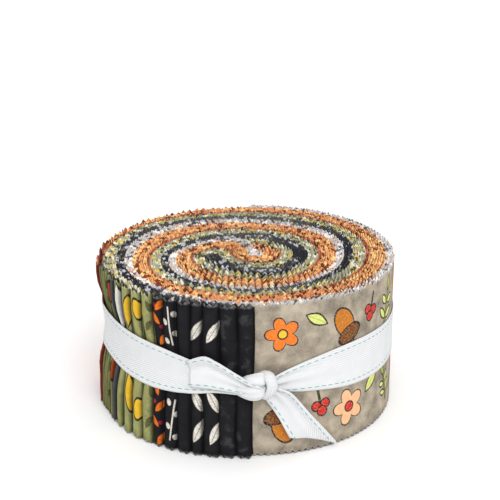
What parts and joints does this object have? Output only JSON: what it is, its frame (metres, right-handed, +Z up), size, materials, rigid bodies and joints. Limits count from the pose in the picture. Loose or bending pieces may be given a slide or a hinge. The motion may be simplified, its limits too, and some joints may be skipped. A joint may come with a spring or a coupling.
{
  "type": "fabric strip roll",
  "caption": "Drum-shaped roll of folded cotton strips with zigzag edges, wound together and tied round its middle with a knotted woven tape.",
  "frame": {"origin": "centre of the roll's flat underside", "axes": "+Z up along the roll's winding axis; the front, with the knot, faces -Y; +X is to the right seen from the front"},
  "size_m": [0.125, 0.1331, 0.0635],
  "materials": {
    "printed_cotton": "matt plain-woven quilting cotton in taupe, grey, orange, dark red, olive green and charcoal, with printed sprigs and zigzag-cut edges",
    "woven_tape": "white twill-woven cotton tape with a line of pale teal running stitch along each edge"
  },
  "bodies": {
    "root": {"strip_roll": "printed_cotton", "tie_ribbon": "woven_tape"}
  },
  "joints": []
}
